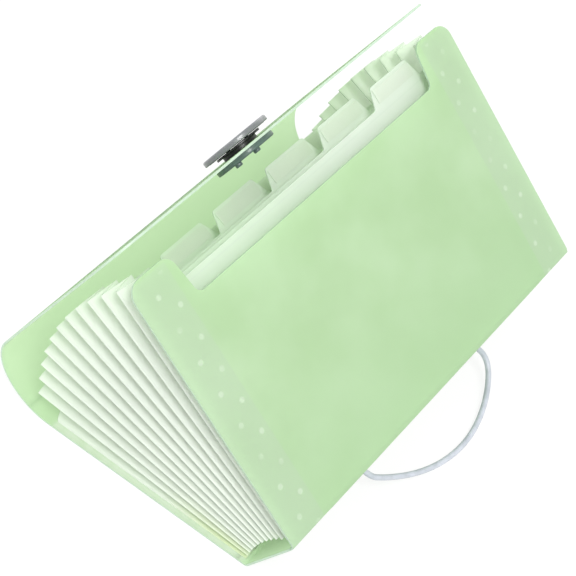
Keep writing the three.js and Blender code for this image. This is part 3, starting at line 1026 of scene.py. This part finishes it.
def lathe(name, profile, centre, axis, material, sides):
    # a profile of (radius, height) points turned about the axis, rounded at its corners
    line = roundedLine(profile)
    line = line[np.concatenate([[True], np.linalg.norm(np.diff(line, axis=0), axis=1) > 1e-5])]
    aside = np.array([1.0, 0, 0])
    other = np.cross(axis, aside)
    angle = np.linspace(0, 2 * np.pi, sides, endpoint=False)
    ring = np.cos(angle)[:, None] * aside + np.sin(angle)[:, None] * other
    rings = centre + mm * (line[:, 0, None, None] * ring + line[:, 1, None, None] * axis)
    return ringsMesh(name, rings, material)


def addButton():
    grey = plasticMaterial("grey_button_cap", buttonLook["cap"])
    black = plasticMaterial("black_button_spacer", buttonLook["spacer"])
    slate = plasticMaterial("slate_button_backing", buttonLook["backing"])
    place = backBend.at(np.array(flapAt))[0] + along(cover["flapHeading"]) * button["height"]
    centre = np.array([0, *(place * mm + backCrease)])
    axis = np.array([0, *along(cover["flapHeading"] + 90)])
    pole, seat, face = button["pole"], button["seat"], cover["thickness"] / 2

    # heights along the axis, from the outer face of the cap to the rivets' heads
    step = -face - seat - button["narrowThickness"]
    wideEnd = step - button["wideThickness"]
    capInner = wideEnd - seat
    capOuter = capInner - button["capThickness"]
    spacerEnd, backStart = -face - button["clear"], face + button["clear"]
    backHigh = face + seat + button["backingThickness"]
    headTop = backHigh + seat + button["rivetHeadThickness"]

    rim, dish, under = button["capRadius"], capOuter + button["capDish"], capInner + button["underDish"]
    ringTop, ringFoot = (rim - inset for inset in button["capRing"])
    underTop, underFoot = (rim - inset for inset in button["underRing"])
    cap = lathe("button_cap_disc", [
        (pole, dish, 0), (ringFoot, dish, 0.4), (ringTop, capOuter, 0.4), (rim, capOuter, 0.8),
        (rim, capInner, 0.35), (underTop, capInner, 0.2), (underFoot, under, 0.1), (pole, under, 0),
    ], centre, axis, grey, button["sides"])

    wide, narrow = button["wideRadius"], button["narrowRadius"]
    spacer = lathe("button_spacer_step", [
        (pole, wideEnd, 0), (wide, wideEnd, 0.2), (wide, step, 0.2), (narrow, step, 0.1),
        (narrow, spacerEnd, 0.1), (pole, spacerEnd, 0),
    ], centre, axis, black, button["sides"])

    rim, dish = button["backingRadius"], backHigh - button["backingDish"]
    ringTop, ringFoot = (rim - inset for inset in button["backingRing"])
    backing = lathe("button_backing_disc", [
        (pole, backStart, 0), (rim, backStart, 0.3), (rim, backHigh, 0.6),
        (ringTop, backHigh, 0.15), (ringFoot, dish, 0.1), (pole, dish, 0),
    ], centre, axis, slate, button["sides"])

    pieces = [(cap, "button_cap", "button_grey"), (spacer, "button_spacer", "button_black"),
              (backing, "button_backing", "button_slate")]
    head, neck = button["rivetHead"], button["rivetRadius"]
    socket, socketRim = button["rivetSocket"]
    shaftStart, neckEnd = capInner - button["shaftReach"], backHigh - button["headReach"]
    socketFloor = headTop - button["rivetSocketDepth"]
    for side, way in (("left", -1), ("right", 1)):
        spot = centre + np.array([way * button["rivetSpacing"] / 2 * mm, 0, 0])
        stud = lathe(f"button_stud_{side}", [
            (pole, shaftStart, 0), (neck, shaftStart, 0.1), (neck, neckEnd, 0.05), (head, neckEnd, 0.1),
            (head, headTop, 0.4), (socketRim, headTop, 0.1), (socket, socketFloor, 0.1),
            (pole, socketFloor, 0),
        ], spot, axis, slate, button["rivetSides"])
        pieces.append((stud, f"button_rivet_{side}", "button_slate"))
    for piece, node, slotName in pieces:
        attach(piece, "flap")
        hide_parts(node)


addButton()
print("button made")


# Metal barbs that hold the cord's ends inside the spine

barb = {
    "tint": (208, 210, 211),
    "deep": (176, 178, 180),
    "roughness": 0.32,
    "unevenRoughness": 0.15,
    "brushHeight": 0.00002,  # metres
}


def barbMaterial():
    made, base = newMaterial("pressed_metal_barb")
    brushed = objectPlace(base).noise(2400, 4.0, 0.7)
    colour = brushed.fade(0.3, 0.7).between(linear(barb["deep"]), linear(barb["tint"]))
    finishMaterial(base, colour, barb["roughness"] + brushed * barb["unevenRoughness"],
                   (brushed * barb["brushHeight"]).bump(), settings={"Metallic": 1.0})
    return made


metal = barbMaterial()
for side in ("left", "right"):
    dressNode(f"cord_barb_{side}", metal)
print("barbs finished")


# Table, light and the plain white surround, in metres and watts

studio = {
    "tableSize": 6,
    "tableWhite": 0.9,
    "tableGlow": 0.84,
    "sky": 1.0,
    "key": {"place": (-0.54, -0.84, 1.66), "size": 0.6, "power": 22},
    "fill": {"place": (1.3, 0.35, 0.5), "size": 1.2, "power": 6},
    "behind": {"place": (-0.2, 1.1, 1.0), "size": 1.2, "power": 5},
}
white = (1, 1, 1, 1)


def seenDirectly(base):
    # 1 for what the camera sees, by itself, in a gloss or through glass: outputs 0, 3 and 6
    paths = [base.node("ShaderNodeLightPath", None, None, out) for out in (0, 3, 6)]
    return paths[0].most(paths[1]).most(paths[2])


def addTable():
    size, grey = studio["tableSize"] / 2, studio["tableWhite"]
    corners = [(-size, -size, 0), (size, -size, 0), (size, size, 0), (-size, size, 0)]
    mesh = bpy.data.meshes.new("table")
    mesh.from_pydata(corners, [], [(0, 1, 2, 3)])
    made, base = newMaterial("white_table")
    matt = base.node("ShaderNodeBsdfDiffuse", None, {"Color": (grey, grey, grey, 1)})
    lit = base.node("ShaderNodeEmission", None, {"Color": white, "Strength": 1.0})
    share = seenDirectly(base) * studio["tableGlow"]
    surface = base.node("ShaderNodeMixShader", None, {0: share, 1: matt, 2: lit})
    base.node("ShaderNodeOutputMaterial", None, {0: surface})
    mesh.materials.append(made)
    table = bpy.data.objects.new("table", mesh)
    bpy.context.scene.collection.objects.link(table)


def addLamp(name, look):
    data = bpy.data.lights.new(name, "AREA")
    data.shape = "DISK"
    data.size = look["size"]
    data.energy = look["power"]
    lamp = bpy.data.objects.new(name, data)
    lamp.location = look["place"]
    lamp.rotation_euler = (-Vector(look["place"])).to_track_quat("-Z", "Y").to_euler()
    bpy.context.scene.collection.objects.link(lamp)


def addSky():
    world = bpy.data.worlds.new("plain sky")
    world.use_nodes = True
    world.node_tree.nodes.clear()
    base = Wire(world.node_tree)
    soft = base.node("ShaderNodeBackground", None, {"Color": white, "Strength": studio["sky"]})
    plain = base.node("ShaderNodeBackground", None, {"Color": white, "Strength": 1.0})
    shown = base.node("ShaderNodeMixShader", None, {0: seenDirectly(base), 1: soft, 2: plain})
    base.node("ShaderNodeOutputWorld", None, {0: shown})
    bpy.context.scene.world = world


addTable()
addSky()
for lampName in ("key", "fill", "behind"):
    addLamp(f"{lampName}_lamp", studio[lampName])
bpy.context.scene.view_settings.view_transform = "Standard"
print("table and lamps placed")
